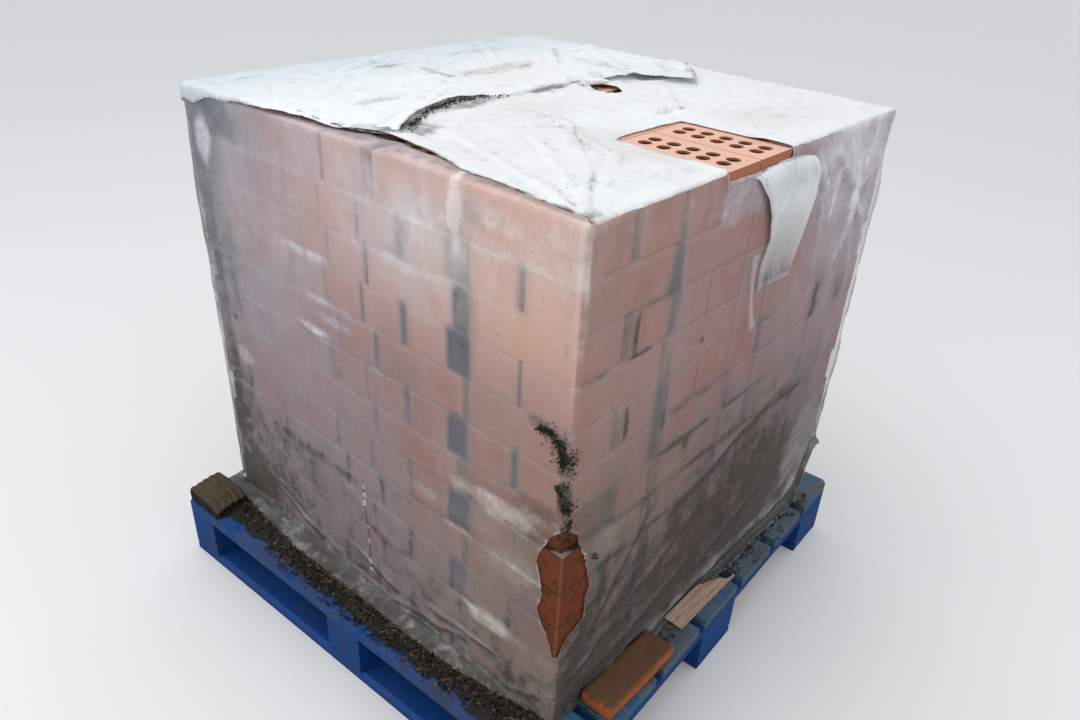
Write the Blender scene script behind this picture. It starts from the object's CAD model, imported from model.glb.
import bmesh, bpy, math, random
import numpy as np
from mathutils import Matrix, Vector


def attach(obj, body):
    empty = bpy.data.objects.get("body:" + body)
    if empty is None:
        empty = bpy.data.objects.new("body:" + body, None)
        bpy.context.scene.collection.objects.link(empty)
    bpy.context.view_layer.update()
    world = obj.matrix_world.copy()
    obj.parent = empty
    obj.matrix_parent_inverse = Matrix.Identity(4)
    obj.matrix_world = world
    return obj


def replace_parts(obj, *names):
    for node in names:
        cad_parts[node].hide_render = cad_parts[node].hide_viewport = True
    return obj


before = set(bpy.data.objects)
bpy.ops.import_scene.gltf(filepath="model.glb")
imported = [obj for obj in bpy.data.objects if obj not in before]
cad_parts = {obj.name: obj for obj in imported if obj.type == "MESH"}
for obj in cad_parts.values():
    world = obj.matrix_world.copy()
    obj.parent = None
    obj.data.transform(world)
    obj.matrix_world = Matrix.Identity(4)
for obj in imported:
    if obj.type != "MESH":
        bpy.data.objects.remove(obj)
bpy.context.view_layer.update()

# The pack as it is built, in millimetres. Places on it are measured from its near corner:
# x along the window end, y along the long side to the left, z up from the deck.
PACK_X, PACK_Y, PACK_H = 994.5, 1006.5, 960.0
PACK_MIDDLE = 43.0, 6.0
DECK_TOP = 144.0
TURN = math.radians(-2.6)
COURSE, COURSES = 80.0, 12
BRICK_L, BRICK_W = 215.0, 102.5
ENDS = [BRICK_W] * 9
SIDES = [BRICK_L, BRICK_L, BRICK_W, BRICK_L, BRICK_L]

# Where the bricks of a course start along each side, their lengths, how far those behind the
# first joint were pushed up at most, and the last brick that was pushed
ROWS = {
    ("x", "ends"): ([0, 123.2, 237, 341.5, 446, 569.2, 673.7, 778.2, 892], ENDS, 12.1, 1),
    ("x", "sides"): ([0, 241, 458, 562.5, 779.5], SIDES, 15.6, 9),
    ("y", "ends"): ([0, 115, 261.3, 376.3, 486, 590.5, 695, 799.5, 904], ENDS, 6.8, 1),
    ("y", "sides"): ([0, 245, 470, 574.5, 791.5], SIDES, 18.2, 9),
}
# How dark the open joint behind each brick looks through the film, course by course from the top
SHADES = {
    ("y", "ends"): {0: (.85, .15, .9, .2, .4, .2), 1: (.4, 1, 1, 1, .85, .35),
                    2: (.75, .85, .4, .35, .3, .25), 3: (.35, .5, .3, .35, .3, .2)},
    ("y", "sides"): {0: (.05, .75, .3, .3, .25, .2), 1: (.05, .4, .45, .35, .2, .2)},
    ("x", "ends"): {0: (.2, .35, .35, .25, .2, .1), 1: (.3, .9, .85, .12, .1, .05),
                    4: (.1, .2, .35, .4, .2, .1)},
    ("x", "sides"): {0: (.9, .25, .8, .2, .15, .1), 1: (.25, .35, .4, .3, .2, .1)},
}
OTHER_SHADES = .12, .25, .25, .2, .15, .1


def in_pack(points):
    """Turns millimetres in the pack to metres in the frame."""
    x, y, z = np.asarray(points, float).reshape(-1, 3).T
    x, y = x - PACK_X / 2, y - PACK_Y / 2
    return np.stack([PACK_MIDDLE[0] + x * math.cos(TURN) - y * math.sin(TURN),
                     PACK_MIDDLE[1] + x * math.sin(TURN) + y * math.cos(TURN), DECK_TOP + z], 1) / 1000


def from_frame(points):
    """Turns millimetres in the frame to millimetres in the pack."""
    x, y, z = (points - (*PACK_MIDDLE, DECK_TOP)).T
    c, s = math.cos(TURN), math.sin(TURN)
    return np.stack([x * c + y * s + PACK_X / 2, y * c - x * s + PACK_Y / 2, z], 1)


# Unevenness
def scatter(i, j, seed):
    """A fixed random number from 0 to 1 for each pair of whole numbers."""
    h = np.asarray(i, np.int64) * 374761393 + np.asarray(j, np.int64) * 668265263 + seed * 974634777
    h = h & 0xFFFFFFFF
    h = ((h ^ (h >> 13)) * 1274126177) & 0xFFFFFFFF
    return ((h ^ (h >> 16)) & 0xFFFF) / 65535.0


def rumple(u, v, size, seed, octaves=2):
    """Smooth unevenness from -1 to 1 with lumps of about the given size."""
    total, reach = 0, 0
    for k in range(octaves):
        a, b = u * 2 ** k / size, v * 2 ** k / size
        i, j = np.floor(a), np.floor(b)
        a, b = a - i, b - j
        a, b = a * a * (3 - 2 * a), b * b * (3 - 2 * b)
        corner = [scatter(i + p, j + q, seed + k) for p in (0, 1) for q in (0, 1)]
        level = (corner[0] * (1 - b) + corner[1] * b) * (1 - a) + (corner[2] * (1 - b) + corner[3] * b) * a
        total, reach = total + (2 * level - 1) / 2 ** k, reach + 1 / 2 ** k
    return total / reach


def crumple(u, v, size, seed):
    """Sharp narrow ridges, as in film that has been creased, from 0 to 1."""
    return np.clip(1 - 5 * np.abs(rumple(u, v, size, seed, 1)), 0, 1) ** 2


def ease(value, low, high):
    """0 at low, 1 at high, smooth between."""
    t = np.clip((value - low) / (high - low), 0, 1)
    return t * t * (3 - 2 * t)


def soften(field, times):
    """Evens a grid of heights out as a stretched film does."""
    for _ in range(times):
        padded = np.pad(field, 1, mode="edge")
        field = (padded[:-2, 1:-1] + padded[2:, 1:-1] + padded[1:-1, :-2] + padded[1:-1, 2:] + 2 * field) / 6
    return field


def fold(u, v, u0, v0, u1, v1, width, height, wander=.3, seed=5):
    """A soft ridge that runs from one place to another and fades out at both."""
    du, dv = u1 - u0, v1 - v0
    length = math.hypot(du, dv)
    t = ((u - u0) * du + (v - v0) * dv) / length ** 2
    off = ((u - u0) * dv - (v - v0) * du) / length + wander * width * rumple(t * 6, t * 0 + seed, 1, seed)
    fade = np.clip(1 - (2 * t - 1) ** 4, 0, 1) * (np.abs(2 * t - 1) < 1)
    return height * fade * np.exp(-(off / width) ** 2)


def folds(u, v, table, wander=.3):
    """All folds of a table: both ends, width and height of each."""
    return sum(fold(u, v, *row, wander) for row in table)


def patches(u, v, table):
    """Soft patches with uneven outlines, from a table: middle, half sizes and strength of each."""
    total, uneven = 0, .35 * rumple(u, v, 40, 3, 3)
    for middle_u, middle_v, half_u, half_v, strength in table:
        far = np.hypot((u - middle_u) / half_u, (v - middle_v) / half_v)
        total = total + strength * (1 - ease(far + uneven, .5, 1.2))
    return total


# Meshes
def grid_faces(rows, columns, ring=False):
    """The four-cornered faces of a grid of points; a ring closes on its first column."""
    last = columns if ring else columns - 1
    return [[r * columns + c, r * columns + (c + 1) % columns,
             (r + 1) * columns + (c + 1) % columns, (r + 1) * columns + c]
            for r in range(rows - 1) for c in range(last)]


def unit_grid(rows, columns):
    """Shares from 0 to 1 down the rows and across the columns of a small sheet."""
    return np.meshgrid(np.linspace(0, 1, rows), np.linspace(0, 1, columns), indexing="ij")


def columns_of(*fields):
    """One row of values for each point of a grid; a lone number is the same at every point."""
    return np.stack([(field + 0 * fields[0]).ravel() for field in fields], 1)


def trim(points, faces, field):
    """Cuts a sheet along the line where field is 0 and keeps the side above it."""
    points, cuts = [np.asarray(p) for p in points], {}

    def crossing(a, b):
        key = (min(a, b), max(a, b))
        if key not in cuts:
            t = field[a] / (field[a] - field[b])
            cuts[key] = len(points)
            points.append(points[a] * (1 - t) + points[b] * t)
        return cuts[key]

    kept = []
    for face in faces:
        inside = [field[v] > 0 for v in face]
        if all(inside):
            kept.append(face)
        elif any(inside):
            rim = []
            for a, b in zip(face, face[1:] + face[:1]):
                if field[a] > 0:
                    rim.append(a)
                if (field[a] > 0) != (field[b] > 0):
                    rim.append(crossing(a, b))
            kept.append(rim)
    used = sorted({v for face in kept for v in face})
    place = {v: k for k, v in enumerate(used)}
    return np.array([points[v] for v in used]), [[place[v] for v in face] for face in kept]


def outside(u, v, outline, rag=0, size=14):
    """Distance outside a closed outline, below 0 within it; rag makes the line ragged."""
    inside, nearest = np.zeros(np.shape(u), bool), np.full(np.shape(u), 1e9)
    for (u0, v0), (u1, v1) in zip(outline, outline[1:] + outline[:1]):
        du, dv = u1 - u0, v1 - v0
        t = np.clip(((u - u0) * du + (v - v0) * dv) / (du * du + dv * dv), 0, 1)
        nearest = np.minimum(nearest, np.hypot(u - u0 - t * du, v - v0 - t * dv))
        if v0 != v1:
            inside ^= ((v0 > v) != (v1 > v)) & (u < u0 + (v - v0) * du / (v1 - v0))
    return np.where(inside, -nearest, nearest) + rag * rumple(u, v, size, 11, 3)


def make(name, points, faces, slot, finish, marks=(), smooth=True):
    """A piece from points in pack millimetres; columns after the third are the marks of its finish."""
    mesh = bpy.data.meshes.new(name)
    mesh.from_pydata(in_pack(points[:, :3]).tolist(), [], faces)
    for k, mark in enumerate(marks):
        values = np.clip(points[:, 3 + k], 0, 1)
        mesh.attributes.new(mark, "FLOAT", "POINT").data.foreach_set("value", values)
    if smooth:
        mesh.shade_smooth()
    mesh.materials.append(finish.material)
    piece = bpy.data.objects.new(name, mesh)
    bpy.context.collection.objects.link(piece)
    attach(piece, "root")
    return piece


# Finishes
class Value:
    """A number or colour that varies over a surface; operators on it add the nodes."""

    def __init__(self, nodes, socket):
        self.nodes, self.socket = nodes, socket

    def math(self, operation, *values):
        return self.nodes.node("ShaderNodeMath", {"operation": operation}, dict(enumerate(values)))

    def __add__(self, other): return self.math("ADD", self, other)
    def __radd__(self, other): return self.math("ADD", other, self)
    def __sub__(self, other): return self.math("SUBTRACT", self, other)
    def __rsub__(self, other): return self.math("SUBTRACT", other, self)
    def __mul__(self, other): return self.math("MULTIPLY", self, other)
    def __rmul__(self, other): return self.math("MULTIPLY", other, self)
    def __truediv__(self, other): return self.math("DIVIDE", self, other)
    def __abs__(self): return self.math("ABSOLUTE", self)
    def most(self, other): return self.math("MAXIMUM", self, other)
    def least(self, other): return self.math("MINIMUM", self, other)

    def line(self, spacing, width):
        """1 on lines at every multiple of spacing, 0 away from them."""
        part = self.math("FRACT", self / spacing + .5)
        return abs(part - .5).ease(width / spacing, 0.0)

    def ease(self, low, high, start=0.0, end=1.0):
        return self.nodes.node("ShaderNodeMapRange", {"interpolation_type": "SMOOTHSTEP", "clamp": True},
                               {0: self, 1: low, 2: high, 3: start, 4: end})


class Nodes:
    """A node tree and the one way in which a node is added to it."""

    def __init__(self, owner):
        owner.use_nodes = True
        self.tree = owner.node_tree
        self.tree.nodes.clear()

    def node(self, kind, settings=None, values=None, out=0):
        new = self.tree.nodes.new(kind)
        for name, value in (settings or {}).items():
            if name == "stops":
                ramp = new.color_ramp
                while len(ramp.elements) < len(value):
                    ramp.elements.new(1)
                for element, (at, colour) in zip(ramp.elements, value):
                    element.position, element.color = at, (*colour, 1)
            else:
                setattr(new, name, value)
        for key, value in (values or {}).items():
            if isinstance(value, Value):
                self.tree.links.new(value.socket, new.inputs[key])
            else:
                new.inputs[key].default_value = value
        return None if out is None else Value(self, new.outputs[out])


class Finish(Nodes):
    """A procedural material and the nodes that make it, placed by the pack or by the pallet."""

    def __init__(self, name, turned=True):
        self.material = bpy.data.materials.new(name)
        super().__init__(self.material)
        if turned:
            turn, corner = -TURN, Vector((PACK_X / 2, PACK_Y / 2, 0)) / 1000
            shift = corner - Matrix.Rotation(turn, 3, "Z") @ (Vector((*PACK_MIDDLE, DECK_TOP)) / 1000)
        else:
            turn, shift = 0, (.57, .57, 0)
        in_frame = self.node("ShaderNodeTexCoord", out="Object")
        mapping = {"Vector": in_frame, "Location": shift, "Rotation": (0, 0, turn)}
        self.place = self.node("ShaderNodeMapping", {}, mapping)
        self.x, self.y, self.z = (self.part(self.place, k) for k in range(3))

    def part(self, vector, k):
        return self.node("ShaderNodeSeparateXYZ", {}, {0: vector}, out=k)

    def facing_up(self):
        return self.part(self.node("ShaderNodeNewGeometry", out="Normal"), 2)

    def mark(self, name):
        return self.node("ShaderNodeAttribute", {"attribute_name": name}, out="Fac")

    def noise(self, size, detail=3.0, rough=.55, stretch=None, distortion=0.0):
        """Noise from 0 to 1 with patches of about size metres."""
        where = self.place
        if stretch:
            where = self.node("ShaderNodeVectorMath", {"operation": "MULTIPLY"}, {0: where, 1: stretch})
        return self.node("ShaderNodeTexNoise", {}, {"Vector": where, "Scale": 1 / size, "Detail": detail,
                         "Roughness": rough, "Distortion": distortion})

    def cells(self, size):
        """The distance from the nearest of many scattered points, about size metres apart."""
        return self.node("ShaderNodeTexVoronoi", {}, {"Vector": self.place, "Scale": 1 / size}, "Distance")

    def mix(self, amount, first, second):
        first, second = (v if isinstance(v, Value) else (*v, 1) for v in (first, second))
        return self.node("ShaderNodeMix", {"data_type": "RGBA"}, {0: amount, 6: first, 7: second}, out=2)

    def coats(self, colour, *coats):
        """Lays coats of an amount and a colour over one another."""
        for amount, coat in coats:
            colour = self.mix(amount, colour, coat)
        return colour

    def ramp(self, amount, *stops):
        return self.node("ShaderNodeValToRGB", {"stops": stops}, {0: amount})

    def surface(self, colour, roughness, relief=None, depth=.001, alpha=None, **fixed):
        """Ends the material; relief is a height from 0 to 1 and depth what it stands for, in metres."""
        values = {"Base Color": colour, "Roughness": roughness,
                  **{k.replace("_", " "): v for k, v in fixed.items()}}
        if relief is not None:
            bump = {"Strength": 1.0, "Distance": depth, "Height": relief}
            values["Normal"] = self.node("ShaderNodeBump", {}, bump)
        if alpha is not None:
            values["Alpha"] = alpha
        shader = self.node("ShaderNodeBsdfPrincipled", {}, values)
        self.node("ShaderNodeOutputMaterial", {}, {0: shader}, out=None)
        return self


def dimmed(colour, share):
    return tuple(c * share for c in colour)


def brick_finish(name, face, edge, damp, dust, dark=.5, bare=False):
    """Wire-cut clay: speckled, darker at its bed joints, where it is damp and where rain soaked it."""
    clay = Finish(name)
    x, y, z, up = clay.x, clay.y, clay.z, clay.facing_up()
    grain = clay.noise(.004, 4, .7)
    drag = clay.noise(.03, 4, .6, stretch=(1, 1, 6))
    tone = (clay.noise(.16, 2) - .5) * .9 + (drag - .5) * .9 + .5
    pits = clay.cells(.006).ease(0.0, .35)
    bed = z.line(COURSE / 1000, .0035)
    sunny = x.ease(.03, .01) * y.ease(0.0, .004) * y.ease(.85, .4) * z.ease(.56, .86)
    # Rain has soaked the bricks behind the tear at the near corner
    off_corner = x + y
    soaked = off_corner.ease(.15, .09) * z.ease(.15, .19) * z.ease(.5, .46)
    ledge = soaked * up.ease(.5, .8)
    colour = clay.coats(
        clay.ramp(tone, (.1, edge), (.5, face), (.95, dimmed(face, 1.25))),
        (z.ease(.8, .05) * .8, damp),
        (clay.noise(.05, 5, .65).ease(.52, .75) * dust, (.8, .7, .64)),
        ((1 - pits) * .35, dimmed(face, .45)),
        (bed * dark, dimmed(face, .25)),
        (z.ease(.9575, .9595) * .8, (.8, .5, .4)),
        (sunny * .9, (.86, .53, .43)),
        (soaked, (.175, .042, .014)),
        (soaked * clay.noise(.02, 5, .7).ease(.5, .62) * .7, (.055, .018, .01)),
        (soaked * off_corner.ease(.006, .001) * .5, (.28, .11, .07)),
        (soaked * bed * .85, (.03, .012, .008)),
        (ledge, (.05, .022, .014)),
        (ledge * off_corner.ease(.034, .02), (.22, .2, .18)))
    if bare:
        # Below its top it is as dull under the film as the rest, and its holes are dark
        colour = clay.coats(colour,
                            (up.ease(.7, .3) * .95, (.44, .16, .085)),
                            (z.ease(.94, .925), (.34, .14, .105)),
                            (z.ease(.959, .954) * y.ease(.008, .014), (.05, .016, .009)))
    return clay.surface(colour, .85 - soaked * .25, grain * .6 + pits * .4, .0006, Specular_IOR_Level=.25)


# Marks of the film, worked out point by point: veil, how milky it is; grime, washed-on dirt; bleach,
# white scuffs; shade, the blue dark of an open joint behind it
FILM_MARKS = ("veil", "grime", "bleach")
SIDE_MARKS = (*FILM_MARKS, "shade")


def film_finish():
    """Weathered polythene over bricks."""
    film = Finish("weathered film")
    x, y, z = film.x, film.y, film.z
    veil, grime, bleach, shade = map(film.mark, SIDE_MARKS)
    haze = film.noise(.09, 5, .62)
    fine = film.noise(.009, 5, .75)
    runs = film.noise(.006, 4, .7, stretch=(1, 1, .05))
    smear = film.noise(.03, 7, .8, distortion=.6)
    # Dirt lies more evenly on the window end
    even = x.ease(0.0, .03) * y.ease(.5, .1)
    dirt = (grime * ((smear - .5) * (2.6 - 1.4 * even) + (haze - .5) * (1.6 - .6 * even) + 1.0)).ease(.02, 1.0)
    white = (bleach * (1.0 + (smear - .5) * 1.5 + (haze - .5) * 1.6 + (runs - .5) * .2)).ease(.1, 1.1)
    spots = film.cells(.01).ease(.16, .1) * film.noise(.06, 2).ease(.5, .64)
    spots = spots.most(film.cells(.005).ease(.2, .08) * film.noise(.045, 3, .6).ease(.5, .62) * .7)
    mould = (film.noise(.012, 7, .85) + (grime - .35) * .12).ease(.64, .7) * film.noise(.14, 3).ease(.46, .62)
    lilac = y.ease(.12, .55).most(x.ease(.08, .5))
    far = y.ease(.5, .9) * x.ease(.02, 0.0) * z.ease(.25, .6)
    sheltered = x.ease(0.0, .03) * x.ease(.85, .6) * z.ease(.5, .2)
    dirt_colour = film.coats((.11, .108, .092), (far, (.135, .145, .175)), (sheltered, (.074, .076, .068)))
    # A line of crumbs where the sheet was once sealed, on the left side
    wander = y - .5 - z * .05 - (film.noise(.2, 1) - .5) * .006
    seal = abs(wander).ease(.006, .003) * x.ease(.01, -.001) * z.ease(.3, .24) * z.ease(.015, .03)
    crumbs = seal * film.noise(.012, 1, .5, stretch=(.3, .3, 1)).ease(.5, .54)
    colour = film.coats(
        film.mix(lilac, (.9, .77, .73), (.8, .75, .83)),
        (shade * .9, (.175, .172, .245)),
        (dirt, dirt_colour),
        (white * .85, film.mix(lilac, (.97, .85, .79), (.89, .86, .93))),
        ((spots * .8).most(mould * .8), (.045, .04, .035)),
        (seal * (1 - crumbs) * .6, (.06, .05, .042)),
        (crumbs * .7, (.56, .48, .38)))
    alpha = (veil + (haze - .5) * .22 + (runs - .5) * .06 + (fine - .5) * .1 + shade * .42 + dirt * .45
             + white * .5 + spots * .5 + mould * .45 + crumbs * .5)
    relief = haze * .3 + fine * .4 + smear * .12
    return film.surface(colour, .36 + dirt * .25, relief, .0014, alpha.most(.06).least(.985), IOR=1.5)


def top_finish():
    """The same film where it lies flat: bleached white, with washed-in dirt in its creases."""
    film = Finish("bleached film")
    veil, grime, bleach = map(film.mark, FILM_MARKS)
    haze = film.noise(.2, 5, .6)
    grain = film.noise(.012, 5, .7, stretch=(1, 1.6, 1))
    smear = film.noise(.045, 7, .8, stretch=(1, 1.8, 1), distortion=1.2)
    thread = (1 - abs(film.noise(.06, 4, .62, distortion=1.8) - .5) * 30).most(0.0)
    dirt = (grime * (1 + (smear - .5) * 3.0 + (grain - .5) * 1.4)).ease(.05, 1.0)
    spots = film.cells(.012).ease(.15, .09) * film.noise(.07, 2).ease(.5, .64)
    colour = film.coats(
        (.91, .93, .94),
        ((smear * .6 + haze * .4).ease(.5, .68) * .34, (.7, .73, .75)),
        (bleach * haze.ease(.35, .65) * .5, (.86, .74, .69)),
        ((grain - .5).ease(.05, .25) * .16, (.6, .62, .62)),
        (thread * .11, (.55, .57, .58)),
        (film.y.ease(.66, 1.02) * .75, (.62, .71, .78)),
        (dirt * .92, (.13, .135, .12)),
        (spots * .8, (.08, .07, .06)))
    alpha = veil - (haze - .5) * .1 + dirt * .2
    return film.surface(colour, .5, haze * .3 + grain * .5 + thread * .08, .0014, alpha.least(1.0))


def litter_finish(name, *stops):
    """Rotting leaves, moss, straw or soil: each bit has its own colour."""
    bits = Finish(name)
    each = bits.node("ShaderNodeNewGeometry", out="Random Per Island")
    grain = bits.noise(.003, 4, .7)
    return bits.surface(bits.ramp(each + (grain - .5) * .35, *stops), .8, grain, .0008)


def paint_finish(name, paint, bare, wear, dirt, grain_stretch):
    """Worn paint on sawn softwood, with the grain raised and the wood showing at worn places."""
    wood = Finish(name, turned=False)
    grain = wood.noise(.006, 5, .65, stretch=grain_stretch)
    worn = (wood.noise(.09, 6, .7) * .72 + grain * .28).ease(.6 - wear * .2, .68 - wear * .2)
    worn = worn * wood.x.ease(.05, .12, .25, 1.0)
    colour = wood.coats(
        paint,
        (wood.x.ease(.12, .06), (.004, .056, .25)),
        ((grain - .3) * .8, dimmed(paint, .55)),
        (worn * .85, bare),
        (wood.noise(.09, 5, .7).ease(.45, .7) * dirt, (.045, .038, .03)))
    return wood.surface(colour, .6, grain * .8 + worn * -.2, .0015, Specular_IOR_Level=.25)


def weathered_finish(name, top, side, dark, spread, stretch):
    """A loose piece: dirt lies on its top and its sides show what it is made of."""
    loose = Finish(name)
    grain = loose.noise(.005, 5, .7, stretch=stretch)
    blotch = loose.noise(.02, 6, .75)
    lies = (loose.facing_up() + (blotch - .5) * spread).ease(.35, .8)
    colour = loose.coats(side, (lies, top), (grain.ease(.45, .62) * .55, dark),
                         (blotch.ease(.58, .68) * .6, dark))
    return loose.surface(colour, .8, grain * .6 + blotch * .4, .0015, Specular_IOR_Level=.2)


ALONG_X, ALONG_Y = (.06, 1, 1), (1, .06, 1)
milky, bleached = film_finish(), top_finish()
leaf_mould = litter_finish("leaf mould", (0.0, (.008, .007, .005)), (.5, (.026, .018, .011)),
                           (.78, (.06, .038, .022)), (.93, (.15, .1, .055)), (1.0, (.04, .05, .02)))
dead_moss = litter_finish("dead moss", (.2, (.01, .01, .006)), (.6, (.03, .028, .016)),
                          (.9, (.06, .055, .03)))
straw = litter_finish("straw", (0.0, (.1, .07, .04)), (.6, (.26, .19, .11)), (1.0, (.42, .34, .22)))
pack_brick = brick_finish("dry clay", (.4, .165, .125), (.29, .11, .08), (.17, .055, .038), .1)
bare_brick = brick_finish("bare clay", (.9, .51, .35), (.74, .34, .2), (.6, .25, .14), .45, 0.0, True)
deck_paint = paint_finish("walked deck paint", (.04, .125, .24), (.13, .15, .16), .8, .6, ALONG_Y)
cross_paint = paint_finish("cross board paint", (.004, .052, .23), (.14, .13, .12), .15, .3, ALONG_X)
block_paint = paint_finish("block paint", (.005, .06, .25), (.14, .13, .12), .2, .3, ALONG_X)
muddy_brick = weathered_finish("muddy clay", (.125, .07, .038), (.42, .105, .038), (.16, .05, .022),
                               2.2, (1, 1, 1))
rotten = weathered_finish("rotten wood", (.085, .062, .04), (.016, .012, .009), (.03, .022, .016),
                          .5, (1, .08, 1))
split = weathered_finish("split wood", (.5, .36, .27), (.2, .11, .07), (.22, .15, .11),
                         .4, (.05, 1, 1))


def dress(finish, *nodes):
    for node in nodes:
        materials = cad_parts[node].data.materials
        materials.clear()
        materials.append(finish.material)


dress(pack_brick, *(f"course_{n:02d}" for n in range(1, COURSES + 1)))
dress(bare_brick, "bare_bricks")
dress(muddy_brick, "loose_brick")
dress(deck_paint, *(f"deck_board_{n}" for n in range(1, 8)))
dress(cross_paint, *(f"{kind}_board_{n}" for n in (1, 2, 3) for kind in ("cross", "bottom")))
dress(block_paint, *(f"block_{n}" for n in range(1, 10)))
dress(rotten, "bearer_offcut")
dress(split, "board_sliver")

# The hood's sides
CORNER_R = 5.0


def hood_plan():
    """Points round the pack from its near corner: place, outward direction, side and distance along it."""
    plan = []
    sides = [("front", (0, 0), (1, 0), PACK_X, 6.6), ("right", (PACK_X, 0), (0, 1), PACK_Y, 14.0),
             ("back", (PACK_X, PACK_Y), (-1, 0), PACK_X, 14.0), ("left", (0, PACK_Y), (0, -1), PACK_Y, 6.6)]
    for side, (x0, y0), (dx, dy), length, step in sides:
        out, onward = (dy, -dx), side in ("front", "right")
        count = round((length - 2 * CORNER_R) / step)
        for i in range(count + 1):
            a = CORNER_R + (length - 2 * CORNER_R) * i / count
            plan.append((x0 + dx * a, y0 + dy * a, *out, side, a if onward else length - a))
        turns = 7 if side == "left" else 4
        for i in range(1, turns):
            angle = math.pi / 2 * i / turns
            way = [out[k] * math.cos(angle) + (dx, dy)[k] * math.sin(angle) for k in (0, 1)]
            centre = [(x0, y0)[k] + (dx, dy)[k] * (length - CORNER_R) - out[k] * CORNER_R for k in (0, 1)]
            plan.append((centre[0] + way[0] * CORNER_R, centre[1] + way[1] * CORNER_R, *way, side,
                         length if onward else 0))
    return plan


def brick_steps(side, along, z):
    """How far each brick stands proud under the film, which brick it is, and how dark an open joint is."""
    course = np.clip(np.floor(z / COURSE), 0, COURSES - 1).astype(int)
    pushed = np.where(course < COURSES - 1, (1 + np.sin(np.radians((course + 1) * 97.0))) / 2, 0)
    steps, brick, dark = (np.zeros(np.shape(z), kind) for kind in (float, int, float))
    axis = "x" if side in ("front", "back") else "y"
    for parity in (0, 1):
        # Odd courses counted from the top have their bricks along y
        kind = "ends" if (axis == "x") == bool(parity) else "sides"
        starts, lengths, play, last = ROWS[axis, kind]
        starts = [start - pushed * play * (0 < i <= last) for i, start in enumerate(starts)]
        k, offset = np.zeros(np.shape(z), int), along - starts[0]
        for i, start in enumerate(starts[1:], 1):
            k, offset = np.where(along >= start, i, k), np.where(along >= start, along - start, offset)
        here = course % 2 == parity
        steps = np.where(here, np.where(offset > np.array(lengths)[k], -1.6, 2.8 * scatter(k, course, 7)), steps)
        brick = np.where(here, k, brick)
        for i in range(len(starts) - 1):
            shades = np.array(SHADES[axis, kind].get(i, OTHER_SHADES))
            end, next_start = starts[i] + lengths[i], starts[i + 1]
            gap = ease(along, end - 8, end - 1) * ease(along, next_start + 8, next_start + 1)
            gap = gap * (next_start - end > 1) * shades[(COURSES - 1 - course) // 2]
            dark = np.where(here, np.maximum(dark, gap), dark)
    return steps, brick, dark


plan = hood_plan()
base, way = np.array([p[:2] for p in plan]), np.array([p[2:4] for p in plan])
side_of, along_of = np.array([p[4] for p in plan]), np.array([p[5] for p in plan])
hops = np.hypot(*np.diff(np.vstack([base, base[:1]]), axis=0).T)
ring = np.concatenate([[0], np.cumsum(hops)[:-1]])
front, right, back, left = (side_of == s for s in ("front", "right", "back", "left"))

# Rows of the sides, as distance out and height: from the fold on top over the edge, down, and the hem's
# share of its way out over the deck
OVER_EDGE = [(-46, 960.7), (-34, 961.0), (-24, 961.4), (-15, 961.8), (-8, 961.8), (-3, 961.2),
             (.5, 959.6), (2.0, 956.5)]
DOWN_SIDE = [(3.0, z) for z in np.arange(950, 5, -6.8)]
HEM_STEPS = [0.0, .06, .14, .24, .36, .48, .6, .7, .8, .88, .94, 1.0]
edge_rows, hem_first = len(OVER_EDGE), len(OVER_EDGE) + len(DOWN_SIDE)
rows, columns = hem_first + len(HEM_STEPS), len(plan)


def every_row(values):
    return np.tile(values, (rows, 1))


U, ALONG = every_row(np.where(left, -along_of, ring)), every_row(along_of)
on_left, on_front, on_right = every_row(left), every_row(front), every_row(right)
OUT, Z = np.zeros((rows, columns)), np.zeros((rows, columns))
OUT[:hem_first], Z[:hem_first] = (np.array(OVER_EDGE + DOWN_SIDE)[:, k, None] for k in (0, 1))

# How high the film's lower edge hangs, and how far the hem spreads over the deck
hang = np.zeros(columns)
hang[front] = 158 * ease(along_of[front], 905, 968)
hang[right] = 158 * (1 - ease(along_of[right], 60, 330)) + 10
hang[back] = 12
spread = np.full(columns, 22.0)
spread[left] = np.interp(along_of[left], [0, 14, 94, 210, 345, 503, 680, 856, 948, 1030],
                         [2, 5, 34, 53, 62, 66, 70, 62, 50, 34])
spread[front] = np.interp(along_of[front], [0, 60, 150, 600, 900, 990], [3, 9, 15, 20, 22, 16])
spread += 5.0 * rumple(ring, ring * 0, 38, 21, 3) + 2.0 * rumple(ring, ring * 0, 9, 22, 2)
spread = np.maximum(spread, 2.5)

relief, brick_of, shade = np.zeros((rows, columns)), np.zeros((rows, columns), int), np.zeros((rows, columns))
for name, which in (("front", front), ("right", right), ("back", back), ("left", left)):
    relief[:, which], brick_of[:, which], shade[:, which] = brick_steps(name, ALONG[:, which], Z[:, which])
open_joint = soften((relief < 0).astype(float), 1)
seam = soften((brick_of != np.roll(brick_of, 1, 1)).astype(float), 1)
swell = soften(relief, 3) * .8 + 1.2 * rumple(U, Z, 140, 3) + .5 * rumple(U, Z, 30, 4)
slack = .4 + 1.6 * ease(Z, 260, 20) + .8 * ease(Z, 900, 960)
swell += slack * (1.4 * crumple(U, Z * .5, 60, 9) + .8 * crumple(U * .6, Z, 34, 10))

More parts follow.
